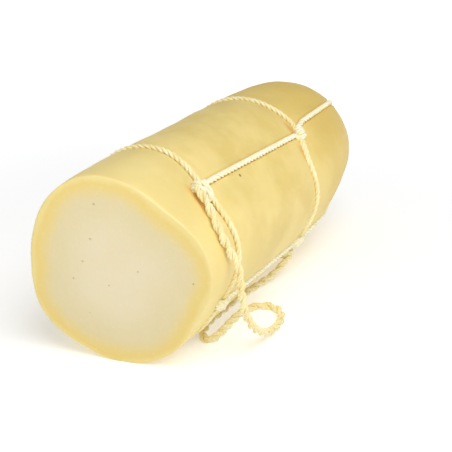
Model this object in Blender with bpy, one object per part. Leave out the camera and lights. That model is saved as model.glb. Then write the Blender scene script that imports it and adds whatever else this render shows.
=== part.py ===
"""A cut log of provolone tied with string, lying on its side.

Metres, +Z up. The log lies along +Y: flat cut end at -Y, rounded end at +Y. The origin is on the flat strip
that it rests on. A place on the log is given by s, the distance along its axis from the middle of the cut
face, and by an angle round that axis, measured from straight up towards +X.
"""

from math import atan2, cos, exp, pi, radians, sin

import bmesh
import bpy
from mathutils import Vector

# The log
LENGTH = 0.2734
RADIUS = 0.0554
WIDENING = 0.093
SWELLING, SWELLING_S = 0.0154, 0.030
DOME_LENGTH = 0.0972
DOME_POWER = 2.33
DOME_RISE = 0.0092
SETTLE = 0.0020
ORIGIN_S = 0.1170

# Its cross-section: how far it is from round, as a share of the radius
OVAL, OVAL_ANGLE = 0.063, radians(15.1)
TRIANGLE, TRIANGLE_ANGLE = 0.032, radians(93)
SQUARE, SQUARE_ANGLE = 0.0077, radians(44.6)

# The cut face, not quite square to the log
FACE_LEAN_X = 0.1815
FACE_LEAN_Z = -0.099
EDGE_ROUNDING = 0.0008

# The string, and how it sits in its groove
STRING = 0.0033
GAP = 0.0003
LIFT = STRING / 2 + GAP
GROOVE_DEPTH = 0.0015
GROOVE_WIDTH = 0.0021
CROSSING_WIDTH = 0.0042
FLOOR_NOTCH = 0.0048

# The shallow dents that tight string presses into the cheese: the hoops', and each lengthwise string's
HOOP_PRESS, HOOP_PRESS_WIDTH = 0.0012, 0.0065
SIDE_PRESS, SIDE_PRESS_WIDTH = (0.0052, 0.0044, 0.0054, 0.0011), radians(16.6)
PRESS_FADE = 0.5
DOME_PRESS = (0.0010, 0.0045, 0.0030, 0.0030)

# The hoops: distance along the log, and how far each leans
NEAR_HOOP, NEAR_LEAN = 0.0410, 0.0045
FAR_HOOP, FAR_LEAN = 0.1562, 0.0058
KNOT_PULL, KNOT_PULL_ANGLE, KNOT_PULL_WIDTH = 0.005, radians(49), radians(16)
HITCH_STEP, HITCH_STEP_ANGLE, HITCH_STEP_WIDTH = 0.0045, radians(50), radians(15)

# The lengthwise strings, about a quarter of a turn apart
STRING_TURNS = tuple(radians(turn) for turn in (35.8, 118, 208, 310.3))
STRING_DRIFT = radians(6.6)
STRING_RETURN, RETURN_LENGTH = radians(5.6), 0.020

# The knots: length along the hoop, width, height. The first ties the near hoop, the others lie over it
FIRST_KNOT = (0.0130, 0.0130, 0.0068)
OTHER_KNOT = (0.0090, 0.0066, 0.0040)
FIRST_KNOT_TURN, FIRST_KNOT_SHIFT = radians(3.0), -0.0045
KNOT_RIDGES, KNOT_RIDGE_HEIGHT, KNOT_TWIST = 3, 0.08, 2.2
KNOT_SIDES, KNOT_RINGS = 14, 8
KNOT_REACH = 0.5 * (1 + KNOT_RIDGE_HEIGHT)

# Where strings meet: the rise over a crossing, the rise at a knot, and the least turn from an end to a point
CROSSING_RISE = STRING + 1.5 * GAP
STRING_START_RISE = 0.0022
END_SPACE = radians(1.5)

# The hanging loop, of doubled twisted string. From the first knot it goes down the side, lies on the floor in
# two bends, and rises under the log to where the far hoop crosses the second lengthwise string.
# On the log its points are s, degrees and height above the surface. Off the log they are x, s and z
LOOP_THICKNESS = 0.0046
LOOP_START = (
    (0.0272, 47.4, 0.0040),
    (0.0256, 52.5, 0.0030),
    (0.0240, 58.0, 0.0027),
    (0.0231, 66.0, 0.0027),
    (0.0250, 74.0, 0.0027),
)
LOOP_FREE = (
    (0.0600, 0.0270, 0.0610),
    (0.0606, 0.0290, 0.0480),
    (0.0608, 0.0330, 0.0340),
    (0.0610, 0.0420, 0.0205),
    (0.0612, 0.0550, 0.0100),
    (0.0612, 0.0690, 0.0042),
    (0.0604, 0.0820, 0.0026),
    (0.0576, 0.0925, 0.0026),
    (0.0522, 0.0990, 0.0026),
    (0.0455, 0.1005, 0.0026),
    (0.0390, 0.0970, 0.0026),
    (0.0350, 0.0885, 0.0026),
    (0.0338, 0.0770, 0.0026),
    (0.0342, 0.0655, 0.0026),
    (0.0345, 0.0560, 0.0026),
    (0.0341, 0.0490, 0.0026),
    (0.0322, 0.0452, 0.0026),
    (0.0288, 0.0460, 0.0026),
    (0.0256, 0.0508, 0.0026),
    (0.0234, 0.0575, 0.0026),
    (0.0223, 0.0650, 0.0026),
    (0.0222, 0.0740, 0.0026),
    (0.0226, 0.0850, 0.0026),
    (0.0232, 0.0980, 0.0026),
    (0.0246, 0.1120, 0.0026),
    (0.0272, 0.1265, 0.0028),
    (0.0308, 0.1375, 0.0052),
    (0.0342, 0.1450, 0.0098),
)
LOOP_END = ((0.1491, 138.6, 0.0044),)
LOOP_POINTS = 64
FINE_STEPS = 12

# How finely the cheese is divided: rows and columns of points lie close together beside each string
BESIDE_STRING = (-0.0055, -0.0022, 0.0, 0.0022, 0.0055)
PLAIN_SPACING = radians(8.8)
FACE_ROWS, SIDE_ROWS, DOME_ROWS = 3, 8, 13
TIP_RADII = (0.0055, 0.0022)

RIND_COLOUR = (0.87, 0.70, 0.32, 1.0)
TWINE_COLOUR = (0.93, 0.84, 0.56, 1.0)


def bump(distance, width):
    """A rounded bump, 1 high at distance 0."""
    return exp(-0.5 * (distance / width) ** 2)


def turn_from(angle, other):
    """The angle from other to angle, the short way round."""
    return (angle - other + pi) % (2 * pi) - pi


def share(value, start, end):
    """How far value has come from start to end, from 0 to 1."""
    return min(1.0, max(0.0, (value - start) / (end - start)))


# Lines on the log: each gives s at an angle round it


def cut_face(angle):
    across = RADIUS * section(angle) - dent(0.0, angle)
    return across * (FACE_LEAN_X * sin(angle) + FACE_LEAN_Z * cos(angle))


def near_hoop(angle):
    pull = KNOT_PULL * bump(turn_from(angle, KNOT_PULL_ANGLE), KNOT_PULL_WIDTH)
    return NEAR_HOOP + NEAR_LEAN * cos(angle) - pull


def far_hoop(angle):
    turns = turn_from(angle, HITCH_STEP_ANGLE) / HITCH_STEP_WIDTH
    return FAR_HOOP + FAR_LEAN * cos(angle) - HITCH_STEP * turns * exp(0.5 - 0.5 * turns**2)


def tip_line(angle):
    return LENGTH


def string_angle(number, s):
    """The angle of a lengthwise string, which drifts round the log a little between the hoops."""
    drift = STRING_DRIFT * share(s, NEAR_HOOP, FAR_HOOP)
    back = STRING_RETURN * share(s, FAR_HOOP, FAR_HOOP + RETURN_LENGTH)
    return STRING_TURNS[number] + drift - back


# The cheese's surface


def section(angle):
    oval = OVAL * cos(2 * (angle - OVAL_ANGLE))
    triangle = TRIANGLE * cos(3 * (angle - TRIANGLE_ANGLE))
    return 1 + oval + triangle + SQUARE * cos(4 * (angle - SQUARE_ANGLE))


def dome_share(s):
    return share(s, LENGTH - DOME_LENGTH, LENGTH)


def profile(s):
    """The log's mean radius at s."""
    swelling = SWELLING * s / SWELLING_S * exp(1 - s / SWELLING_S)
    dome = (1 - dome_share(s) ** DOME_POWER) ** (1 / DOME_POWER)
    return RADIUS * (1 + WIDENING * s + swelling) * dome


def dome_s(fraction):
    """The place on the dome where its radius is this fraction of the log's."""
    return LENGTH - DOME_LENGTH * (1 - (1 - fraction**DOME_POWER) ** (1 / DOME_POWER))


def outward(s):
    """How much of the surface's outward direction is away from the axis, and how much along it."""
    step = 0.0002
    before, after = s - step, min(LENGTH, s + step)
    lean = atan2(profile(before) - profile(after), after - before)
    return cos(lean), sin(lean)


def dent(s, angle):
    """How deep the strings press the surface in."""
    across = max(profile(s), GROOVE_WIDTH)
    on_dome = sin(pi * dome_share(s)) ** 2
    on_side = (1 - dome_share(s)) * (1 - PRESS_FADE * share(s, 0, FAR_HOOP))
    tied = share(s, near_hoop(angle), near_hoop(angle) + GROOVE_WIDTH)
    hoops = [s - near_hoop(angle), s - far_hoop(angle)]
    narrow = max(bump(distance, GROOVE_WIDTH) for distance in hoops)
    wide = HOOP_PRESS * sum(bump(distance, HOOP_PRESS_WIDTH) for distance in hoops)
    for number in range(4):
        turned = turn_from(angle, string_angle(number, s))
        press = SIDE_PRESS[number] * on_side + DOME_PRESS[number] * on_dome
        wide += press * bump(turned, SIDE_PRESS_WIDTH)
        narrow = max(narrow, tied * bump(across * turned, GROOVE_WIDTH))
    return wide + GROOVE_DEPTH * narrow


def axis_point(s):
    lowest = RADIUS * (1 + WIDENING * s) * section(pi)
    return Vector((0.0, s - ORIGIN_S, lowest - SETTLE + DOME_RISE * dome_share(s) ** 2))


def surface(s, angle, lift=0.0):
    """The point at s and angle, raised by lift above the dented surface."""
    away, along = outward(s)
    height = lift - dent(s, angle)
    across = profile(s) * section(angle) + height * away
    return axis_point(s) + Vector((across * sin(angle), height * along, across * cos(angle)))


def cheese_point(s, angle):
    """The surface, flattened where the log rests and notched there for the hoops."""
    place = surface(s, angle)
    to_hoop = min(abs(s - near_hoop(angle)), abs(s - far_hoop(angle)))
    notch = FLOOR_NOTCH * bump(to_hoop, GROOVE_WIDTH) if to_hoop < BESIDE_STRING[-1] - GAP else 0.0
    place.z = max(place.z, notch)
    return place


# The cheese's rows and columns of points


def columns():
    """The columns' angles at the near hoop, starting beside the first string."""
    turns = []
    reach = BESIDE_STRING[-1] / RADIUS
    for middle, following in zip(STRING_TURNS, STRING_TURNS[1:] + (STRING_TURNS[0] + 2 * pi,)):
        plain = following - middle - 2 * reach
        count = round(plain / PLAIN_SPACING) - 1
        turns += [middle + offset / RADIUS for offset in BESIDE_STRING]
        turns += [middle + reach + plain * (i + 1) / (count + 1) for i in range(count)]
    return turns


def beside(line, offset):
    return lambda angle: line(angle) + offset


def blend(first, last, part):
    return lambda angle: first(angle) * (1 - part) + last(angle) * part


def between(first, last, count):
    return [blend(first, last, (i + 1) / (count + 1)) for i in range(count)]


def level(s):
    return lambda angle: s


def dome_rows():
    """Rows from the start of the dome to just short of the tip, evenly spaced along its curve."""
    turns = [pi / 2 * i / DOME_ROWS for i in range(DOME_ROWS)]
    tip_scale = RADIUS * (1 + WIDENING * LENGTH)
    fractions = [cos(turn) ** (2 / DOME_POWER) for turn in turns]
    fractions += [radius / tip_scale for radius in TIP_RADII]
    return [level(dome_s(fraction)) for fraction in fractions]


def rows():
    """The rows as lines on the log, from the cut edge to just short of the tip."""
    edge = beside(cut_face, EDGE_ROUNDING)
    near = [beside(near_hoop, offset) for offset in BESIDE_STRING]
    far = [beside(far_hoop, offset) for offset in BESIDE_STRING]
    front = [edge] + between(edge, near[0], FACE_ROWS)
    return front + near + between(near[-1], far[0], SIDE_ROWS) + far + dome_rows()


def on_line(line, turn):
    """The s and angle where a column crosses a line."""
    angle = turn
    for _ in range(4):
        angle = turn + string_angle(0, line(angle)) - STRING_TURNS[0]
    return line(angle), angle


def on_log(line, turn, lift=0.0):
    """The point where a column crosses a line, raised by lift."""
    s, angle = on_line(line, turn)
    return surface(s, angle, lift)


# The strings' routes


def knot_place(number):
    """The s and angle of a knot's middle."""
    angle = STRING_TURNS[number]
    if number:
        return near_hoop(angle), angle
    return near_hoop(angle + FIRST_KNOT_TURN) + FIRST_KNOT_SHIFT, angle + FIRST_KNOT_TURN


def above_floor(place):
    """The string's point, kept clear of the floor."""
    return Vector((place.x, place.y, max(place.z, LIFT)))


def near_hoop_route():
    """From one end of the first knot round the log to its other end."""
    _, knot = knot_place(0)
    reach = FIRST_KNOT[0] * KNOT_REACH / RADIUS
    turns = [knot + reach] + [turn for turn in columns() if turn > knot + reach + END_SPACE]
    turns += [knot + 2 * pi - reach]
    return [above_floor(surface(near_hoop(turn), turn, LIFT)) for turn in turns]


def far_hoop_route():
    return [above_floor(on_log(far_hoop, turn, LIFT)) for turn in columns()]


def lengthwise_lift(s, angle, over_tip):
    """The string's height, raised where it crosses the far hoop and, for the upper string, at the tip."""
    raised = bump(s - far_hoop(angle), CROSSING_WIDTH)
    if over_tip:
        raised += bump(profile(s), CROSSING_WIDTH)
    return LIFT + CROSSING_RISE * raised


def lengthwise_route(number):
    """From a knot along the log to the tip."""
    size = OTHER_KNOT if number else FIRST_KNOT
    s, _ = knot_place(number)
    angle = string_angle(number, s)
    start = s + size[1] * KNOT_REACH + GAP
    route = [surface(start, angle, LIFT + STRING_START_RISE)]
    for line in rows() + [tip_line]:
        _, angle = on_line(line, STRING_TURNS[0])
        around = angle + STRING_TURNS[number] - STRING_TURNS[0]
        s = line(around)
        if s > start + END_SPACE * RADIUS:
            route.append(surface(s, string_angle(number, s), lengthwise_lift(s, around, number % 2)))
    return route


def smooth(points, count):
    """Evenly spaced points on a smooth curve through these."""
    ends = [2 * points[0] - points[1]] + points + [2 * points[-1] - points[-2]]
    fine = []
    for a, b, c, d in zip(ends, ends[1:], ends[2:], ends[3:]):
        for i in range(FINE_STEPS):
            t = i / FINE_STEPS
            bend = (2 * a - 5 * b + 4 * c - d) * t**2 + (3 * b - a - 3 * c + d) * t**3
            fine.append(b + 0.5 * ((c - a) * t + bend))
    fine.append(points[-1])
    reached = [0.0]
    for start, end in zip(fine, fine[1:]):
        reached.append(reached[-1] + (end - start).length)
    even, i = [], 0
    for k in range(count):
        wanted = reached[-1] * k / (count - 1)
        while i < len(fine) - 2 and reached[i + 1] < wanted:
            i += 1
        part = (wanted - reached[i]) / (reached[i + 1] - reached[i])
        even.append(fine[i].lerp(fine[i + 1], part))
    return even


def loop_route():
    """From the first knot down the log, along the floor and up to the far hoop."""
    first = [surface(s, radians(degrees), lift) for s, degrees, lift in LOOP_START]
    free = [Vector((x, s - ORIGIN_S, z)) for x, s, z in LOOP_FREE]
    last = [surface(s, radians(degrees), lift) for s, degrees, lift in LOOP_END]
    return smooth(first + free + last, LOOP_POINTS)


# The objects


def material(name, colour, roughness):
    made = bpy.data.materials.new(name)
    made.use_nodes = True
    shader = made.node_tree.nodes["Principled BSDF"]
    shader.inputs["Base Color"].default_value = colour
    shader.inputs["Roughness"].default_value = roughness
    return made


def add_object(name, data, made_of, collection):
    data.materials.append(made_of)
    collection.objects.link(bpy.data.objects.new(name, data))


def add_cheese(made_of, collection):
    """Rings of points from the cut face to the tip, joined by faces."""
    turns, lines = columns(), rows()
    face = []
    for turn in turns:
        edge = surface(cut_face(turn), turn, -EDGE_ROUNDING) - axis_point(0.0)
        x, z = edge.x, max(edge.z, -axis_point(0.0).z)
        face.append(axis_point(0.0) + Vector((x, FACE_LEAN_X * x + FACE_LEAN_Z * z, z)))
    rings = [face] + [[cheese_point(*on_line(line, turn)) for turn in turns] for line in lines]
    points = [axis_point(0.0)] + [place for ring in rings for place in ring]
    points.append(surface(LENGTH, string_angle(0, LENGTH)))
    count = len(turns)
    first, last = 1, 1 + count * (len(rings) - 1)
    faces = []
    for i in range(count):
        following = (i + 1) % count
        faces.append((0, first + following, first + i))
        faces.append((len(points) - 1, last + i, last + following))
        for ring in range(first, last, count):
            faces.append((ring + following, ring + count + following, ring + count + i, ring + i))
    mesh = bpy.data.meshes.new("cheese")
    mesh.from_pydata(points, [], faces)
    add_object("cheese", mesh, made_of, collection)


def add_string(name, route, thickness, closed, made_of, collection):
    """A round string through these points."""
    curve = bpy.data.curves.new(name, "CURVE")
    curve.dimensions = "3D"
    curve.bevel_depth = thickness / 2
    curve.bevel_resolution = 2
    curve.use_fill_caps = True
    spline = curve.splines.new("POLY")
    spline.points.add(len(route) - 1)
    for point, place in zip(spline.points, route):
        point.co = (*place, 1.0)
    spline.use_cyclic_u = closed
    add_object(name, curve, made_of, collection)


def add_knot(number, made_of, collection):
    """A lump with spiral ridges, its long axis along the hoop."""
    length, width, height = OTHER_KNOT if number else FIRST_KNOT
    s, angle = knot_place(number)
    lift = height * KNOT_REACH + (2 * LIFT if number else GROOVE_DEPTH + GAP)
    out = Vector((sin(angle), 0.0, cos(angle)))
    round_log = Vector((cos(angle), 0.0, -sin(angle)))
    shape = bmesh.new()
    bmesh.ops.create_uvsphere(shape, u_segments=KNOT_SIDES, v_segments=KNOT_RINGS, radius=1.0)
    for vert in shape.verts:
        x, y, z = vert.co
        ridges = KNOT_RIDGE_HEIGHT * (1 - z**2) * cos(KNOT_RIDGES * atan2(y, x) + KNOT_TWIST * z)
        across, up = x * (1 + ridges) * width / 2, y * (1 + ridges) * height / 2
        vert.co = surface(s, angle, lift) + z * length / 2 * round_log + up * out + Vector((0.0, across, 0.0))
    mesh = bpy.data.meshes.new(f"knot_{number}")
    shape.to_mesh(mesh)
    shape.free()
    add_object(mesh.name, mesh, made_of, collection)


def build():
    for old in list(bpy.data.objects):
        bpy.data.objects.remove(old)
    collection = bpy.data.collections.new("provolone_cheese")
    bpy.context.scene.collection.children.link(collection)
    rind = material("rind", RIND_COLOUR, 0.45)
    twine = material("twine", TWINE_COLOUR, 0.9)
    add_cheese(rind, collection)
    add_string("hoop_near", near_hoop_route(), STRING, False, twine, collection)
    add_string("hoop_far", far_hoop_route(), STRING, True, twine, collection)
    for name, number in (("lengthwise_a", 0), ("lengthwise_b", 1)):
        route = lengthwise_route(number) + lengthwise_route(number + 2)[-2::-1]
        add_string(name, route, STRING, False, twine, collection)
    for number in range(4):
        add_knot(number, twine, collection)
    add_string("hanging_loop", loop_route(), LOOP_THICKNESS, False, twine, collection)


build()
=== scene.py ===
"""How the tied log of provolone looks: its cut face, its rind, its twisted string, the floor and the light.

Metres, +Z up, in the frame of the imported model. The log lies along +Y, with its flat cut end at -Y and its
rounded end at +Y. A place on the log is given by s, the distance along its axis from the middle of the cut
face, and by an angle round that axis, measured from straight up towards +X.
"""

from math import atan2, cos, exp, pi, radians, sin

import bpy
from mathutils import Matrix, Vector, noise


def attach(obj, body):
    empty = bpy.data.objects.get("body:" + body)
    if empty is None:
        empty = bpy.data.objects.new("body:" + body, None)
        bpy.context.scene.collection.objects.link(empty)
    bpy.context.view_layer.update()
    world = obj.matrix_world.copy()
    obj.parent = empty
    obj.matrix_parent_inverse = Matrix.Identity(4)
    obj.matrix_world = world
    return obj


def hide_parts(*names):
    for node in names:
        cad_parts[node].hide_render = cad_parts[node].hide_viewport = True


# The log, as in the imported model
LENGTH = 0.2734
RADIUS = 0.0554
WIDENING = 0.093
SWELLING, SWELLING_S = 0.0154, 0.030
DOME_LENGTH = 0.0972
DOME_POWER = 2.33
DOME_RISE = 0.0092
SETTLE = 0.0020
ORIGIN_S = 0.1170
OVAL, OVAL_ANGLE = 0.063, radians(15.1)
TRIANGLE, TRIANGLE_ANGLE = 0.032, radians(93)
SQUARE, SQUARE_ANGLE = 0.0077, radians(44.6)
FACE_LEAN_X = 0.1815
FACE_LEAN_Z = -0.099

# The string and how it presses the cheese in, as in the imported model
STRING = 0.0033
LIFT = STRING / 2 + 0.0001
GROOVE_DEPTH = 0.0015
CROSSING_WIDTH = 0.0042
FLOOR_NOTCH, NOTCH_WIDTH = 0.0048, 0.0021
HOOP_PRESS, HOOP_PRESS_WIDTH = 0.0012, 0.0065
SIDE_PRESS, SIDE_PRESS_WIDTH = (0.0052, 0.0044, 0.0054, 0.0011), radians(16.6)
PRESS_FADE = 0.5
DOME_PRESS = (0.0010, 0.0045, 0.0030, 0.0030)
NEAR_HOOP, NEAR_LEAN = 0.0410, 0.0045
FAR_HOOP, FAR_LEAN = 0.1562, 0.0058
KNOT_PULL, KNOT_PULL_ANGLE, KNOT_PULL_WIDTH = 0.005, radians(49), radians(16)
HITCH_STEP, HITCH_STEP_ANGLE, HITCH_STEP_WIDTH = 0.0045, radians(50), radians(15)
STRING_TURNS = tuple(radians(turn) for turn in (35.8, 118, 208, 310.3))
STRING_DRIFT = radians(6.6)
STRING_RETURN, RETURN_LENGTH = radians(5.6), 0.020
FIRST_KNOT_TURN, FIRST_KNOT_SHIFT = radians(3.0), -0.0045

# The groove under each string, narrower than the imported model's and with a low lip on each side
GROOVE_WIDTH = 0.0014
LIP_HEIGHT, LIP_PLACE, LIP_WIDTH = 0.0004, 0.0038, 0.0012

# The hanging loop's line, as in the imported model
LOOP_START = (
    (0.0272, 47.4, 0.0040),
    (0.0256, 52.5, 0.0030),
    (0.0240, 58.0, 0.0027),
    (0.0231, 66.0, 0.0027),
    (0.0250, 74.0, 0.0027),
)
LOOP_FREE = (
    (0.0600, 0.0270, 0.0610),
    (0.0606, 0.0290, 0.0480),
    (0.0608, 0.0330, 0.0340),
    (0.0610, 0.0420, 0.0205),
    (0.0612, 0.0550, 0.0100),
    (0.0612, 0.0690, 0.0042),
    (0.0604, 0.0820, 0.0026),
    (0.0576, 0.0925, 0.0026),
    (0.0522, 0.0990, 0.0026),
    (0.0455, 0.1005, 0.0026),
    (0.0390, 0.0970, 0.0026),
    (0.0350, 0.0885, 0.0026),
    (0.0338, 0.0770, 0.0026),
    (0.0342, 0.0655, 0.0026),
    (0.0345, 0.0560, 0.0026),
    (0.0341, 0.0490, 0.0026),
    (0.0322, 0.0452, 0.0026),
    (0.0288, 0.0460, 0.0026),
    (0.0256, 0.0508, 0.0026),
    (0.0234, 0.0575, 0.0026),
    (0.0223, 0.0650, 0.0026),
    (0.0222, 0.0740, 0.0026),
    (0.0226, 0.0850, 0.0026),
    (0.0232, 0.0980, 0.0026),
    (0.0246, 0.1120, 0.0026),
    (0.0272, 0.1265, 0.0028),
    (0.0308, 0.1375, 0.0052),
    (0.0342, 0.1450, 0.0098),
)
LOOP_END = ((0.1491, 138.6, 0.0044),)
FINE_STEPS = 12

# How finely the cheese is divided, and the length of the dome's curve as a multiple of the dome's own
FINE, COARSE = 0.0006, 0.0015
FINE_REACH = 0.0066
EDGE_RADIUS, EDGE_STEPS = 0.0007, 3
FACE_RINGS = 42
TIP_RADIUS = 0.0015
DOME_CURVE = 1.30

# The cheese's own unevenness: (size of the bumps, height)
RIND_WAVES = ((0.034, 0.0007), (0.014, 0.00022), (0.0050, 0.00005))
FACE_WAVES = ((0.020, 0.00015), (0.006, 0.00004))
KNIFE_WAVE, KNIFE_LENGTH, KNIFE_HEIGHT = 0.0045, 0.05, 0.00005

# Three-strand string: each strand's radius and distance from the middle as shares of the string's radius,
# the length of one twist in string diameters, how much its fibres thicken it, and its strands' rings
STRAND_RADIUS, STRAND_OFFSET = 0.53, 0.47
LAY = 3.2
FLUFF = 1.10
STRAND_STEP = 0.00065
STRAND_SIDES = 12

# The wraps where one string ties round another, with one more at the hitch that is most in sight
HITCH_PASSES, FULL_HITCH_PASSES, HITCH_PITCH = 3, 4, 0.0025
HITCH_RADIUS, HITCH_SHIFT, HITCH_LIFT = 0.0028, 0.0006, 0.0002
HITCH_STEPS = 8

# The first knot: how many half turns it makes and how far its ends tuck under, how long and high a turn is,
# how far apart the first and last are, how high their middle is, and the way they slant
KNOT_HALF_TURNS, KNOT_TUCK = 4.2, 0.1
KNOT_LENGTH, KNOT_HEIGHT, KNOT_SPREAD, KNOT_LIFT = 0.0052, 0.0034, 0.0085, 0.0012
KNOT_SLANT = radians(57)
KNOT_STEPS = 60

# How far from a hoop a lengthwise string is back down on the cheese, and the points along it
CLEAR_OF_HITCH = 0.0075
SIDE_STEPS, DOME_STEPS = 30, 23

# Where the loop's two strings come out of the first knot: s, degrees and height above the surface
LOOP_IN_KNOT = ((0.0325, 34.5, 0.0022), (0.0300, 38.5, 0.0036), (0.0284, 42.5, 0.0042))

# Where they reach the far hoop
LOOP_ON_HOOP = ((0.1530, 138.2, 0.0040), (0.1556, 137.6, 0.0022))

# The near hoop's ends pass side by side through the first knot: how far apart, how high, in how many steps
ENDS_APART, ENDS_HEIGHT, ENDS_STEPS = 0.0013, 0.0012, 3
HOOP_STEP = radians(3)

# The far hoop's ends lie side by side below its first hitch: how far round and how far apart, how much they
# close up, how far the second rises and where it starts to, and how far its tip is tucked in
HOOP_OVERLAP, HOOP_APART, HOOP_CLOSING = radians(22), 0.0036, 0.5
HOOP_RISE, HOOP_RISE_TURN, HOOP_TUCK = 0.0010, radians(8), 0.0026
FAR_HOOP_STEPS = 126

# The doubled string of the hanging loop
PAIR_RADIUS, PAIR_OFFSET, PAIR_TWIST = 0.00145, 0.00115, 0.0180

# Painted shade beside the string at the first knot and at the far hoop, a deeper ochre where shade falls: s
# and degrees, and how wide
PAINTED_SHADE_SPOTS = ((0.0305, 39), (0.0290, 47), (0.1575, 39), (0.1530, 57))
SHADE_SPOT_ALONG, SHADE_SPOT_AROUND = 0.0026, 0.0058

# Eyes in the cheese: x, height above the floor and radius on the face; s, degrees and radius on the rind
EYES = (
    (-0.0077, 0.0971, 0.0006),
    (-0.0121, 0.0761, 0.0006),
    (-0.0181, 0.0619, 0.0006),
    (-0.0247, 0.0505, 0.0005),
    (-0.0044, 0.0489, 0.0005),
    (0.0129, 0.0596, 0.0006),
    (0.0432, 0.0566, 0.0005),
    (-0.0176, 0.0298, 0.0004),
)
RIND_EYE = (0.0759, 43.7, 0.0010)

# The camera: where it is, how far round from the log's cut end and how high in degrees, and its lens in mm
CAMERA_PLACE = (0.2612, -0.5027, 0.2709)
CAMERA_AZIMUTH, CAMERA_ELEVATION = 26.81, 22.0
CAMERA_LENS = 75.8


def bump(distance, width):
    """A rounded bump, 1 high at distance 0."""
    return exp(-0.5 * (distance / width) ** 2)


def turn_from(angle, other):
    """The angle from other to angle, the short way round."""
    return (angle - other + pi) % (2 * pi) - pi


def share(value, start, end):
    """How far value has come from start to end, from 0 to 1."""
    return min(1.0, max(0.0, (value - start) / (end - start)))


# Lines on the log: each gives s at an angle round it


def cut_face(angle):
    across = RADIUS * section(angle) - dent(0.0, angle)
    return across * (FACE_LEAN_X * sin(angle) + FACE_LEAN_Z * cos(angle))


def near_hoop(angle):
    pull = KNOT_PULL * bump(turn_from(angle, KNOT_PULL_ANGLE), KNOT_PULL_WIDTH)
    return NEAR_HOOP + NEAR_LEAN * cos(angle) - pull


def far_hoop(angle):
    turns = turn_from(angle, HITCH_STEP_ANGLE) / HITCH_STEP_WIDTH
    return FAR_HOOP + FAR_LEAN * cos(angle) - HITCH_STEP * turns * exp(0.5 - 0.5 * turns**2)


def string_angle(number, s):
    """The angle of a lengthwise string, which drifts round the log a little between the hoops."""
    drift = STRING_DRIFT * share(s, NEAR_HOOP, FAR_HOOP)
    back = STRING_RETURN * share(s, FAR_HOOP, FAR_HOOP + RETURN_LENGTH)
    return STRING_TURNS[number] + drift - back


# The cheese's surface


def section(angle):
    oval = OVAL * cos(2 * (angle - OVAL_ANGLE))
    triangle = TRIANGLE * cos(3 * (angle - TRIANGLE_ANGLE))
    return 1 + oval + triangle + SQUARE * cos(4 * (angle - SQUARE_ANGLE))


def dome_share(s):
    return share(s, LENGTH - DOME_LENGTH, LENGTH)


def profile(s):
    """The log's mean radius at s."""
    swelling = SWELLING * s / SWELLING_S * exp(1 - s / SWELLING_S)
    dome = (1 - dome_share(s) ** DOME_POWER) ** (1 / DOME_POWER)
    return RADIUS * (1 + WIDENING * s + swelling) * dome


def dome_s(fraction):
    """The place on the dome where its radius is this fraction of the log's."""
    return LENGTH - DOME_LENGTH * (1 - (1 - fraction**DOME_POWER) ** (1 / DOME_POWER))


def outward(s):
    """How much of the surface's outward direction is away from the axis, and how much along it."""
    step = 0.0002
    before, after = s - step, min(LENGTH, s + step)
    lean = atan2(profile(before) - profile(after), after - before)
    return cos(lean), sin(lean)


def string_distance(s, angle):
    """How far a place is from the middle of the nearest string."""
    near = s - near_hoop(angle)
    distances = [abs(near), abs(s - far_hoop(angle))]
    if near > 0:
        across = max(profile(s), GROOVE_WIDTH)
        distances += [abs(across * turn_from(angle, string_angle(n, s))) for n in range(4)]
    return min(distances)


def dent(s, angle):
    """How deep the strings press the surface in."""
    on_dome = sin(pi * dome_share(s)) ** 2
    on_side = (1 - dome_share(s)) * (1 - PRESS_FADE * share(s, 0, FAR_HOOP))
    hoops = [s - near_hoop(angle), s - far_hoop(angle)]
    wide = HOOP_PRESS * sum(bump(distance, HOOP_PRESS_WIDTH) for distance in hoops)
    for number in range(4):
        turned = turn_from(angle, string_angle(number, s))
        press = SIDE_PRESS[number] * on_side + DOME_PRESS[number] * on_dome
        wide += press * bump(turned, SIDE_PRESS_WIDTH)
    return wide


def groove(distance):
    """The narrow groove under a string, with a low lip on each side."""
    return GROOVE_DEPTH * bump(distance, GROOVE_WIDTH) - LIP_HEIGHT * bump(distance - LIP_PLACE, LIP_WIDTH)


def axis_point(s):
    lowest = RADIUS * (1 + WIDENING * s) * section(pi)
    return Vector((0.0, s - ORIGIN_S, lowest - SETTLE + DOME_RISE * dome_share(s) ** 2))


def raised(s, angle, height):
    """The point this high over the undented log."""
    away, along = outward(s)
    across = profile(s) * section(angle) + height * away
    return axis_point(s) + Vector((across * sin(angle), height * along, across * cos(angle)))


def surface(s, angle, lift=0.0):
    """The point raised by lift above the bottom of a string's groove."""
    return raised(s, angle, lift - dent(s, angle) - GROOVE_DEPTH)


def waves(place, sizes):
    """Smooth seeded unevenness, the sum of several sizes of bumps."""
    return sum(height * noise.noise(place / size) for size, height in sizes)


# The cheese's mesh


def spaced(length, step):
    """Evenly spaced shares from 0 to just short of 1, about a step apart."""
    count = max(1, round(length / step))
    return [i / count for i in range(count)]


def columns():
    """The columns' angles at the near hoop, close together beside each lengthwise string."""
    turns = []
    reach = FINE_REACH / RADIUS
    for middle, following in zip(STRING_TURNS, STRING_TURNS[1:] + (STRING_TURNS[0] + 2 * pi,)):
        turns += [middle - reach + 2 * reach * part for part in spaced(2 * FINE_REACH, FINE)]
        plain = following - middle - 2 * reach
        turns += [middle + reach + plain * part for part in spaced(plain * RADIUS, COARSE)]
    return turns


def between(first, last, length, step):
    """Lines from first to just short of last."""
    return [
        lambda angle, part=part: first(angle) * (1 - part) + last(angle) * part
        for part in spaced(length, step)
    ]


def beside(line, offset):
    return lambda angle: line(angle) + offset


def level(s):
    return lambda angle: s


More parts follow.
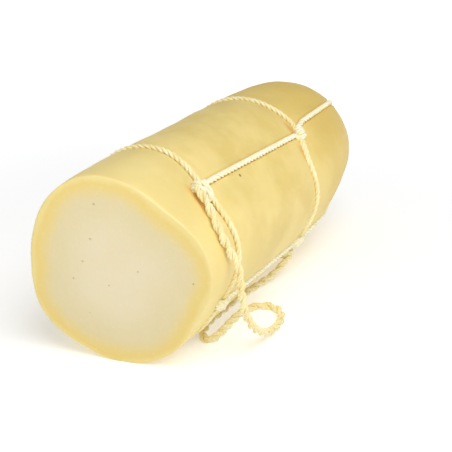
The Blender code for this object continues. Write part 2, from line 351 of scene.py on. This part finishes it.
def dome_rows():
    """Rows from the start of the dome to its tip, evenly spaced along its curve."""
    turns = [pi / 2 * part for part in spaced(DOME_CURVE * DOME_LENGTH, COARSE)]
    fractions = [cos(turn) ** (2 / DOME_POWER) for turn in turns]
    smallest = TIP_RADIUS / RADIUS
    fractions = [fraction for fraction in fractions if fraction > smallest] + [smallest]
    return [level(dome_s(fraction)) for fraction in fractions]


def rows():
    """The rows as lines on the log, from the cut edge to just short of the tip."""
    edge = beside(cut_face, EDGE_RADIUS)
    lines = []
    last, length = edge, NEAR_HOOP - FINE_REACH
    for hoop, after in ((near_hoop, FAR_HOOP - NEAR_HOOP), (far_hoop, LENGTH - DOME_LENGTH - FAR_HOOP)):
        start, end = beside(hoop, -FINE_REACH), beside(hoop, FINE_REACH)
        lines += between(last, start, length, COARSE) + between(start, end, 2 * FINE_REACH, FINE)
        last, length = end, after - 2 * FINE_REACH
    dome = level(LENGTH - DOME_LENGTH)
    return lines + between(last, dome, length + FINE_REACH, COARSE) + dome_rows()


def on_line(line, turn):
    """The s and angle where a column crosses a line."""
    angle = turn
    for _ in range(4):
        angle = turn + string_angle(0, line(angle)) - STRING_TURNS[0]
    return line(angle), angle


def rind_point(s, angle):
    """The rind's place and how near a string it is, flattened where the log rests."""
    distance = string_distance(s, angle)
    tied = 1 - bump(distance, 3 * GROOVE_WIDTH)
    uneven = waves(Vector((sin(angle), s / RADIUS, cos(angle))) * RADIUS, RIND_WAVES)
    place = raised(s, angle, uneven * tied - dent(s, angle) - groove(distance))
    to_hoop = min(abs(s - near_hoop(angle)), abs(s - far_hoop(angle)))
    place.z = max(place.z, FLOOR_NOTCH * bump(to_hoop, NOTCH_WIDTH) if to_hoop < FINE_REACH else 0.0)
    return place, distance


def face_rim(turn):
    """The x and z, from the middle of the cut face, where its rounded edge starts."""
    s = cut_face(turn)
    rim = raised(s, turn, -dent(s, turn) - EDGE_RADIUS) - axis_point(0.0)
    return Vector((rim.x, rim.z))


def face_point(x, z):
    """A point on the cut face, which a knife has left slightly uneven."""
    axis = axis_point(0.0)
    z = max(z, -axis.z)
    place = axis + Vector((x, FACE_LEAN_X * x + FACE_LEAN_Z * z, z))
    drag = KNIFE_HEIGHT * noise.noise(Vector((x / KNIFE_LENGTH, 0.0, z / KNIFE_WAVE)))
    place.y += waves(place, FACE_WAVES) + drag
    return place


def painted_shade_at(s, angle):
    """How much painted shade lies beside the string at a place, from 0 to 1."""
    return max(
        bump(s - place, SHADE_SPOT_ALONG) * bump(RADIUS * turn_from(angle, radians(degrees)), SHADE_SPOT_AROUND)
        for place, degrees in PAINTED_SHADE_SPOTS
    )


def cheese_mesh():
    """Rings of points from the middle of the cut face to the tip, joined by faces.

    Each point keeps what its colour depends on: whether it is on the cut, how far it is from the cut's
    edge, how far it is from the nearest string, and how much painted shade it has beside a string.
    """
    turns = columns()
    points, cut, edge, tied, rubbed = [face_point(0.0, 0.0)], [1.0], [RADIUS], [1.0], [0.0]
    rims = [face_rim(turn) for turn in turns]
    for ring in range(1, FACE_RINGS + 1):
        for rim in rims:
            points.append(face_point(*(rim * ring / FACE_RINGS)))
            cut.append(1.0)
            edge.append(rim.length * (1 - ring / FACE_RINGS))
            tied.append(1.0)
            rubbed.append(0.0)
    for step in range(1, EDGE_STEPS):
        lean = pi / 2 * step / EDGE_STEPS
        for turn, rim in zip(turns, rims):
            out = Vector((sin(turn) * sin(lean), 1 - cos(lean), cos(turn) * sin(lean)))
            place = face_point(*rim) + EDGE_RADIUS * out
            points.append(Vector((place.x, place.y, max(0.0, place.z))))
            cut.append(1 - step / EDGE_STEPS)
            edge.append(0.0)
            tied.append(1.0)
            rubbed.append(0.0)
    for line in rows():
        for turn in turns:
            s, angle = on_line(line, turn)
            place, distance = rind_point(s, angle)
            points.append(place)
            cut.append(0.0)
            edge.append(max(0.0, s - cut_face(angle)))
            tied.append(distance)
            rubbed.append(painted_shade_at(s, angle))
    points.append(raised(LENGTH, 0.0, -dent(LENGTH, 0.0) - GROOVE_DEPTH))
    cut.append(0.0)
    edge.append(LENGTH)
    tied.append(0.0)
    rubbed.append(0.0)
    count = len(turns)
    last = len(points) - 1 - count
    faces = []
    for i in range(count):
        following = (i + 1) % count
        faces.append((0, 1 + following, 1 + i))
        faces.append((len(points) - 1, last + i, last + following))
        for ring in range(1, last, count):
            faces.append((ring + following, ring + count + following, ring + count + i, ring + i))
    mesh = bpy.data.meshes.new("provolone_log")
    mesh.from_pydata(points, [], faces)
    for name, values in (("cut", cut), ("edge", edge), ("tied", tied), ("rubbed", rubbed)):
        mesh.attributes.new(name, "FLOAT", "POINT").data.foreach_set("value", values)
    mesh.shade_smooth()
    return mesh


# Smooth lines, and string that follows them


def smooth(points, step):
    """Points about a step apart, evenly spaced on a smooth curve through these."""
    ends = [2 * points[0] - points[1]] + points + [2 * points[-1] - points[-2]]
    fine = []
    for a, b, c, d in zip(ends, ends[1:], ends[2:], ends[3:]):
        for i in range(FINE_STEPS):
            t = i / FINE_STEPS
            bend = (2 * a - 5 * b + 4 * c - d) * t**2 + (3 * b - a - 3 * c + d) * t**3
            fine.append(b + 0.5 * ((c - a) * t + bend))
    fine.append(points[-1])
    reached = [0.0]
    for start, end in zip(fine, fine[1:]):
        reached.append(reached[-1] + (end - start).length)
    count = max(2, round(reached[-1] / step))
    even, i = [], 0
    for k in range(count + 1):
        wanted = reached[-1] * k / count
        while i < len(fine) - 2 and reached[i + 1] < wanted:
            i += 1
        part = (wanted - reached[i]) / (reached[i + 1] - reached[i])
        even.append(fine[i].lerp(fine[i + 1], part))
    return even


def crosswise(line):
    """At each point of a line, two directions across it that turn as little as they can along it."""
    frames = []
    side = (line[1] - line[0]).orthogonal().normalized()
    for i in range(len(line)):
        ahead = (line[min(i + 1, len(line) - 1)] - line[max(i - 1, 0)]).normalized()
        side = (side - side.dot(ahead) * ahead).normalized()
        frames.append((side, ahead.cross(side)))
    return frames


def helix(line, offset, twist, phase):
    """A line that winds round another at this distance, once in each twist."""
    frames = crosswise(line)
    wound, along = [], 0.0
    for i, (side, other) in enumerate(frames):
        along += (line[i] - line[i - 1]).length if i else 0.0
        turn = phase + 2 * pi * along / twist
        wound.append(line[i] + offset * (cos(turn) * side + sin(turn) * other))
    return wound


def string_mesh(name, lines, radius):
    """Three-strand string along each of these lines.

    Each point keeps how far out on the string it lies, and a map that runs along its strand.
    """
    points, faces, outer, along = [], [], [], []
    for number, line in enumerate(lines):
        for strand in range(3):
            wound = helix(line, STRAND_OFFSET * radius, LAY * 2 * radius, number + 2 * pi * strand / 3)
            across = crosswise(wound)
            start = len(points)
            for i, middle in enumerate(wound):
                end = min(i, len(wound) - 1 - i)
                thick = STRAND_RADIUS * radius * min(1.0, 0.45 + 0.3 * end)
                thick *= 1 + 0.05 * noise.noise(Vector((number * 9.0 + strand * 3.1, i * 0.23, 0.5)))
                for k in range(STRAND_SIDES):
                    turn = 2 * pi * k / STRAND_SIDES
                    place = middle + thick * (cos(turn) * across[i][0] + sin(turn) * across[i][1])
                    points.append(place)
                    outer.append((place - line[i]).length / radius)
                    along.append((i * STRAND_STEP * 100 + strand * 7.3 + number * 3.7, k))
            last = len(points) - STRAND_SIDES
            faces.append(tuple(start + k for k in reversed(range(STRAND_SIDES))))
            faces.append(tuple(last + k for k in range(STRAND_SIDES)))
            for ring in range(start, last, STRAND_SIDES):
                for k in range(STRAND_SIDES):
                    after = (k + 1) % STRAND_SIDES
                    faces.append(
                        (ring + k, ring + after, ring + STRAND_SIDES + after, ring + STRAND_SIDES + k)
                    )
    mesh = bpy.data.meshes.new(name)
    mesh.from_pydata(points, [], faces)
    mesh.attributes.new("outer", "FLOAT", "POINT").data.foreach_set("value", outer)
    strand_map = mesh.uv_layers.new(name="Strand")
    for face in mesh.polygons:
        turns = [along[mesh.loops[loop].vertex_index][1] for loop in face.loop_indices]
        wraps = max(turns) - min(turns) > STRAND_SIDES / 2
        for loop, turn in zip(face.loop_indices, turns):
            whole = turn + STRAND_SIDES if wraps and turn == 0 else turn
            u = along[mesh.loops[loop].vertex_index][0]
            strand_map.data[loop].uv = (u, whole / STRAND_SIDES)
    mesh.shade_smooth()
    return mesh


# The strings' lines


def knot_place(number):
    """The s and angle of a knot's middle."""
    angle = STRING_TURNS[number]
    if number:
        return near_hoop(angle), angle
    return near_hoop(angle + FIRST_KNOT_TURN) + FIRST_KNOT_SHIFT, angle + FIRST_KNOT_TURN


def above_floor(place):
    return Vector((place.x, place.y, max(place.z, LIFT)))


def near_hoop_line():
    """Once round the log, its ends passing through the first knot side by side."""
    _, knot = knot_place(0)
    turns = [knot + HOOP_STEP * i for i in range(-1, round(2 * pi / HOOP_STEP) + 1)]
    line = []
    for i, turn in enumerate(turns):
        first, last = bump(i, ENDS_STEPS), bump(len(turns) - 1 - i, ENDS_STEPS)
        apart, height = ENDS_APART * (first - last), ENDS_HEIGHT * (first + last)
        line.append(above_floor(surface(near_hoop(turn) + apart, turn, LIFT + height)))
    return line


def far_hoop_line():
    """Once round the log and a little more, its second end beside its first and drawn in to it."""
    start = string_angle(0, FAR_HOOP)
    line = []
    for i in range(FAR_HOOP_STEPS + 1):
        turn = start + (2 * pi + HOOP_OVERLAP) * i / FAR_HOOP_STEPS
        over = share(turn, start + 2 * pi - HOOP_RISE_TURN, start + 2 * pi)
        drawn_in = share(turn, start + 2 * pi, start + 2 * pi + HOOP_OVERLAP)
        apart = HOOP_APART * over * (1 - HOOP_CLOSING * drawn_in)
        height = LIFT + HOOP_RISE * over - HOOP_TUCK * drawn_in**4
        line.append(above_floor(surface(far_hoop(turn) - apart, turn, height)))
    return line


def hitch_line(hoop, angle, passes):
    """Where a string winds round a hoop: over, down behind it, under, and over again."""
    line = []
    half_turns = 2 * passes - 1
    steps = HITCH_STEPS * half_turns
    for i in range(steps + 1):
        part = i / steps
        turned = pi * (1 - half_turns * part)
        around = angle + (0.5 - part) * (passes - 1) * HITCH_PITCH / RADIUS
        place = hoop(around) - HITCH_SHIFT + HITCH_RADIUS * cos(turned)
        line.append(surface(place, around, LIFT + HITCH_RADIUS * sin(turned) + HITCH_LIFT))
    return line


def lengthwise_line(number):
    """From a knot along the log, tied round the far hoop, to the tip."""
    line = hitch_line(near_hoop, STRING_TURNS[number], HITCH_PASSES if number else 1)
    crossing = string_angle(number, FAR_HOOP)
    start, end = knot_place(number)[0] + CLEAR_OF_HITCH, far_hoop(crossing) - CLEAR_OF_HITCH
    places = [start + (end - start) * i / SIDE_STEPS for i in range(SIDE_STEPS + 1)]
    line += [surface(place, string_angle(number, place), LIFT) for place in places]
    line += hitch_line(far_hoop, crossing, HITCH_PASSES if number else FULL_HITCH_PASSES)
    start, end = far_hoop(crossing) + CLEAR_OF_HITCH, LENGTH - DOME_LENGTH
    places = [start + (end - start) * i / DOME_STEPS for i in range(DOME_STEPS)]
    places += [dome_s(cos(pi / 2 * i / DOME_STEPS) ** (2 / DOME_POWER)) for i in range(DOME_STEPS)]
    for place in places:
        over = STRING * bump(profile(place), CROSSING_WIDTH) if number % 2 else 0.0
        line.append(surface(place, string_angle(number, place), LIFT + over))
    return line


def loop_line():
    """From the first knot down the log, along the floor and up to the far hoop."""
    start = LOOP_IN_KNOT + LOOP_START
    first = [surface(s, radians(degrees), lift + GROOVE_DEPTH) for s, degrees, lift in start]
    free = [Vector((x, s - ORIGIN_S, z)) for x, s, z in LOOP_FREE]
    end = LOOP_END + LOOP_ON_HOOP
    last = [surface(s, radians(degrees), lift + GROOVE_DEPTH) for s, degrees, lift in end]
    return smooth(first + free + last, STRAND_STEP)


def knot_line():
    """The first knot: slanting turns round the hoop and the top of the loop."""
    s, angle = knot_place(0)
    line = []
    for i in range(KNOT_STEPS + 1):
        part = i / KNOT_STEPS
        turned = pi * (1 + KNOT_TUCK - KNOT_HALF_TURNS * part)
        along = KNOT_LENGTH * cos(turned)
        beside_it = (part - 0.5) * KNOT_SPREAD
        place = s - along * cos(KNOT_SLANT) + beside_it * sin(KNOT_SLANT)
        around = angle - (along * sin(KNOT_SLANT) + beside_it * cos(KNOT_SLANT)) / RADIUS
        line.append(surface(place, around, LIFT + KNOT_LIFT + KNOT_HEIGHT * sin(turned)))
    return line


# Materials


def linear(red, green, blue):
    """A colour given as it looks on a screen, 0 to 255, as a shader takes it."""
    return (*(((v / 255 + 0.055) / 1.055) ** 2.4 for v in (red, green, blue)), 1.0)


class Nodes:
    """A material's node tree, written as nested calls."""

    def __init__(self, name):
        self.material = bpy.data.materials.new(name)
        self.material.use_nodes = True
        self.tree = self.material.node_tree
        self.shader = self.tree.nodes["Principled BSDF"]

    def add(self, kind, settings=(), **inputs):
        """Adds a node. An input is a value or another node's output. Underscores in its name are spaces."""
        node = self.tree.nodes.new(kind)
        for name, value in dict(settings).items():
            setattr(node, name, value)
        for name, value in inputs.items():
            self.put(node, name.replace("_", " "), value)
        return node

    def put(self, node, name, value):
        socket = node.inputs[int(name)] if name.isdigit() else node.inputs[name]
        if isinstance(value, bpy.types.NodeSocket):
            self.tree.links.new(value, socket)
        else:
            socket.default_value = value

    def attribute(self, name):
        return self.add("ShaderNodeAttribute", {"attribute_name": name}).outputs["Fac"]

    def place(self):
        return self.add("ShaderNodeTexCoord").outputs["Object"]

    def noise(self, size, detail=3.0, vector=None, roughness=0.5):
        """Noise with features of about this size."""
        node = self.add(
            "ShaderNodeTexNoise",
            Vector=self.place() if vector is None else vector,
            Scale=1 / size,
            Detail=detail,
            Roughness=roughness,
        )
        return node.outputs["Fac"]

    def stretch(self, scale, vector=None):
        node = self.add("ShaderNodeMapping", Vector=self.place() if vector is None else vector, Scale=scale)
        return node.outputs["Vector"]

    def ramp(self, value, low, high, start=0.0, end=1.0):
        """value mapped smoothly from low..high to start..end."""
        node = self.add(
            "ShaderNodeMapRange",
            {"interpolation_type": "SMOOTHSTEP"},
            Value=value,
            From_Min=low,
            From_Max=high,
            To_Min=start,
            To_Max=end,
        )
        return node.outputs["Result"]

    def mix(self, factor, first, second):
        node = self.add("ShaderNodeMix", {"data_type": "RGBA"})
        self.put(node, "0", factor)
        self.put(node, "6", first)
        self.put(node, "7", second)
        return node.outputs[2]

    def maths(self, operation, first, second):
        node = self.add("ShaderNodeMath", {"operation": operation})
        self.put(node, "0", first)
        self.put(node, "1", second)
        return node.outputs[0]

    def bumps(self, *layers):
        """Bump from (height, depth in metres) layers, one over another."""
        normal = None
        for height, depth in layers:
            node = self.add("ShaderNodeBump", Height=height, Distance=depth)
            if normal is not None:
                self.put(node, "Normal", normal)
            normal = node.outputs["Normal"]
        self.put(self.shader, "Normal", normal)

    def finish(self, colour, roughness, **constants):
        self.put(self.shader, "Base Color", colour)
        self.put(self.shader, "Roughness", roughness)
        for name, value in constants.items():
            self.put(self.shader, name.replace("_", " "), value)
        return self.material


def closer(nodes, nearest, place, radius):
    """The distance to a place in eye radii, or nearest if that is less."""
    node = nodes.add("ShaderNodeVectorMath", {"operation": "DISTANCE"})
    nodes.put(node, "0", nodes.place())
    nodes.put(node, "1", place)
    away = nodes.maths("DIVIDE", node.outputs["Value"], radius)
    return nodes.maths("MINIMUM", away, nearest)


def eye_distance(nodes):
    """How far a point is from the nearest eye of the cut face, in eye radii."""
    nearest = 9.0
    for x, height, radius in EYES:
        y = axis_point(0.0).y + FACE_LEAN_X * x + FACE_LEAN_Z * (height - axis_point(0.0).z)
        nearest = closer(nodes, nearest, Vector((x, y, height)), radius)
    return nearest


def cheese_material():
    """Waxy yellow rind, and a paler cut face that deepens to yellow beside the rind."""
    nodes = Nodes("provolone")
    cut, edge, tied = (nodes.attribute(name) for name in ("cut", "edge", "tied"))
    blotch, mottle = nodes.noise(0.030), nodes.noise(0.006, 4.0)
    wander = nodes.maths("MULTIPLY", nodes.ramp(nodes.noise(0.020), 0.3, 0.7, -0.5, 0.5), 0.0025)
    inward = nodes.maths("ADD", edge, wander)

    rind = nodes.mix(nodes.ramp(blotch, 0.35, 0.65), linear(240, 216, 138), linear(229, 203, 120))
    rind = nodes.mix(nodes.ramp(mottle, 0.45, 0.75, 0.0, 0.22), rind, linear(244, 226, 158))
    # Painted light: the rind paler towards the cut end, where more light falls
    rind = nodes.mix(nodes.ramp(edge, 0.0, 0.09, 0.6, 0.0), rind, linear(247, 227, 155))
    # Towards the dome the rind is darker and a deeper yellow: partly painted shade of the far end, partly
    # the dome's own deeper colour
    rind = nodes.mix(nodes.ramp(edge, 0.13, 0.22, 0.0, 0.85), rind, linear(225, 193, 98))
    # Painted shade: a deeper ochre in the groove right beside each string
    rind = nodes.mix(nodes.ramp(tied, 0.0012, 0.0036, 0.35, 0.0), rind, linear(230, 186, 98))
    # Painted shade: a deeper ochre beside the string at the first knot and at the far hoop's hitches
    rind = nodes.mix(nodes.ramp(nodes.attribute("rubbed"), 0.15, 0.9, 0.0, 0.8), rind, linear(227, 170, 80))
    # Painted highlight along the rind at the cut edge, partly the edge's own paler translucent rind
    rind = nodes.mix(nodes.ramp(edge, 0.0, 0.0012, 0.5, 0.0), rind, linear(244, 226, 178))

    middle = nodes.mix(nodes.ramp(edge, 0.012, 0.040), linear(226, 211, 166), linear(232, 219, 184))
    middle = nodes.mix(nodes.ramp(nodes.noise(0.022), 0.4, 0.7, 0.0, 0.4), middle, linear(229, 213, 170))
    band = nodes.mix(nodes.ramp(inward, 0.0, 0.0035), linear(236, 216, 144), linear(233, 208, 126))
    face = nodes.mix(nodes.ramp(inward, 0.0030, 0.0145), band, middle)
    face = nodes.mix(nodes.ramp(nodes.noise(0.0022, 2.0), 0.5, 0.8, 0.0, 0.12), face, linear(244, 234, 202))

    colour = nodes.mix(cut, rind, face)
    eye = eye_distance(nodes)
    # Painted shade: each eye on the cut face darker, as shade in its hollow
    colour = nodes.mix(nodes.ramp(eye, 0.6, 1.3, 0.35, 0.0), colour, linear(170, 140, 90))
    s, degrees, radius = RIND_EYE
    pit = closer(nodes, 9.0, surface(s, radians(degrees), GROOVE_DEPTH), radius)
    # Painted shade: the pit in the rind dark, as shade in its hollow
    colour = nodes.mix(nodes.ramp(pit, 0.5, 1.3, 0.85, 0.0), colour, linear(128, 98, 50))
    nodes.bumps(
        (nodes.noise(0.0011, 2.0), 0.00006),
        (nodes.noise(0.004, 3.0), 0.00013),
        (nodes.ramp(nodes.maths("MINIMUM", eye, pit), 0.3, 1.2), 0.0004),
    )
    roughness = nodes.ramp(mottle, 0.3, 0.7, 0.42, 0.55)
    return nodes.finish(
        colour,
        roughness,
        Subsurface_Weight=0.25,
        Subsurface_Radius=(1.0, 0.62, 0.25),
        Subsurface_Scale=0.005,
        Specular_IOR_Level=0.40,
    )


def string_material(name, light, deep):
    """Undyed cotton string, with painted shade making it darker and yellower down between its strands."""
    nodes = Nodes(name)
    outer = nodes.attribute("outer")
    strand = nodes.add("ShaderNodeUVMap", {"uv_map": "Strand"}).outputs["UV"]
    fibre = nodes.noise(1.0, 4.0, nodes.stretch((3.0, 9.0, 1.0), strand), 0.65)
    patch = nodes.noise(0.012)
    colour = nodes.mix(nodes.ramp(patch, 0.35, 0.7), light, deep)
    colour = nodes.mix(nodes.ramp(fibre, 0.35, 0.7, 0.25, 0.0), colour, linear(242, 226, 174))
    # Painted shade down between the strands
    colour = nodes.mix(nodes.ramp(outer, 0.50, 0.80, 0.4, 0.0), colour, linear(232, 204, 136))
    nodes.bumps((fibre, 0.00025))
    return nodes.finish(
        colour,
        nodes.ramp(fibre, 0.3, 0.7, 0.75, 0.9),
        Subsurface_Weight=0.15,
        Subsurface_Radius=(1.0, 0.7, 0.4),
        Subsurface_Scale=0.001,
        Sheen_Weight=0.15,
        Specular_IOR_Level=0.25,
    )


def floor_material():
    """White paper that glows a little, more so away from the log, like a lit studio sweep."""
    nodes = Nodes("floor")
    tone = nodes.ramp(nodes.noise(0.4), 0.3, 0.7)
    colour = nodes.mix(tone, linear(236, 237, 238), linear(233, 234, 235))
    away = nodes.add("ShaderNodeVectorMath", {"operation": "LENGTH"})
    nodes.put(away, "0", nodes.place())
    glow = nodes.ramp(away.outputs["Value"], 0.10, 0.9, 0.32, 0.9)
    return nodes.finish(colour, 0.9, Emission_Color=(1.0, 1.0, 1.0, 1.0), Emission_Strength=glow)


# The scene


def show(mesh, made_of, slot, *stands_for):
    """Puts a mesh in the scene as a piece of the object."""
    mesh.materials.append(made_of)
    piece = bpy.data.objects.new(mesh.name, mesh)
    bpy.context.scene.collection.objects.link(piece)
    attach(piece, "root")
    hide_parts(*stands_for)
    return piece


def add_camera():
    camera = bpy.data.cameras.new("camera")
    camera.lens, camera.sensor_width = CAMERA_LENS, 36.0
    camera.clip_start, camera.clip_end = 0.01, 20.0
    placed = bpy.data.objects.new("camera", camera)
    placed.location = CAMERA_PLACE
    placed.rotation_euler = (radians(90 - CAMERA_ELEVATION), 0.0, radians(CAMERA_AZIMUTH))
    bpy.context.scene.collection.objects.link(placed)
    bpy.context.scene.camera = placed


def add_hanging_loop(twine):
    """The loop's two strings, twisted together."""
    line = loop_line()
    pair = [helix(line, PAIR_OFFSET, PAIR_TWIST, phase) for phase in (0.0, pi)]
    piece = show(string_mesh("loop_of_string", pair, PAIR_RADIUS), twine, "string", "hanging_loop")


def add_strings(twine, pale_twine):
    """The strings that are tied tight on the log, and the first knot."""

    def tie(name, lines, made_of, *stands_for):
        even = [smooth(line, STRAND_STEP) for line in lines]
        show(string_mesh(name, even, FLUFF * STRING / 2), made_of, "string", *stands_for)

    tie("near_hoop", [near_hoop_line()], twine, "hoop_near")
    loop_end = radians(LOOP_END[-1][1])
    tie("far_hoop", [far_hoop_line(), hitch_line(far_hoop, loop_end, HITCH_PASSES)], twine, "hoop_far")
    for name, number, knots in (("a", 0, ("knot_2",)), ("b", 1, ("knot_1", "knot_3"))):
        line = lengthwise_line(number) + lengthwise_line(number + 2)[::-1]
        tie(f"lengthwise_string_{name}", [line], pale_twine, f"lengthwise_{name}", *knots)
    tie("first_knot", [knot_line()], pale_twine, "knot_0")


def add_floor():
    mesh = bpy.data.meshes.new("floor")
    half = 6.0
    corners = [(-half, -half, 0), (half, -half, 0), (half, half, 0), (-half, half, 0)]
    mesh.from_pydata(corners, [], [(0, 1, 2, 3)])
    mesh.materials.append(floor_material())
    floor = bpy.data.objects.new("floor", mesh)
    bpy.context.scene.collection.objects.link(floor)


def add_light(name, azimuth, elevation, distance, size, power):
    """A square soft light at this direction from the log's cut end, facing it."""
    light = bpy.data.lights.new(name, "AREA")
    light.shape, light.size, light.energy = "SQUARE", size, power
    a, e = radians(azimuth), radians(elevation)
    back = Vector((sin(a) * cos(e), -cos(a) * cos(e), sin(e)))
    placed = bpy.data.objects.new(name, light)
    placed.location = Vector((0.0, axis_point(NEAR_HOOP).y, RADIUS)) + distance * back
    placed.rotation_euler = back.to_track_quat("Z", "Y").to_euler()
    bpy.context.scene.collection.objects.link(placed)


def add_lights():
    add_light("key", 56, 55, 1.10, 0.73, 8.0)
    add_light("fill", -45, 8, 0.70, 0.47, 0.32)
    world = bpy.data.worlds.new("studio")
    world.use_nodes = True
    background = world.node_tree.nodes["Background"]
    background.inputs["Color"].default_value = (1.0, 1.0, 1.0, 1.0)
    background.inputs["Strength"].default_value = 0.40
    bpy.context.scene.world = world


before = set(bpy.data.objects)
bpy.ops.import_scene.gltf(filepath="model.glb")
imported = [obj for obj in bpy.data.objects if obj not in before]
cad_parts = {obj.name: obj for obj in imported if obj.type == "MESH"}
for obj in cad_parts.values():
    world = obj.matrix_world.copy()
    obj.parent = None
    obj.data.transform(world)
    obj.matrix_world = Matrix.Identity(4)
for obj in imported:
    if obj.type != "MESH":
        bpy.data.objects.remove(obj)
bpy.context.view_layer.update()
bpy.context.scene.view_settings.view_transform = "Standard"
add_camera()
twine = string_material("twine", linear(255, 245, 197), linear(250, 231, 170))
pale_twine = string_material("pale_twine", linear(255, 252, 228), linear(255, 247, 208))
add_hanging_loop(twine)
add_strings(twine, pale_twine)
show(cheese_mesh(), cheese_material(), "cheese", "cheese")
add_floor()
add_lights()
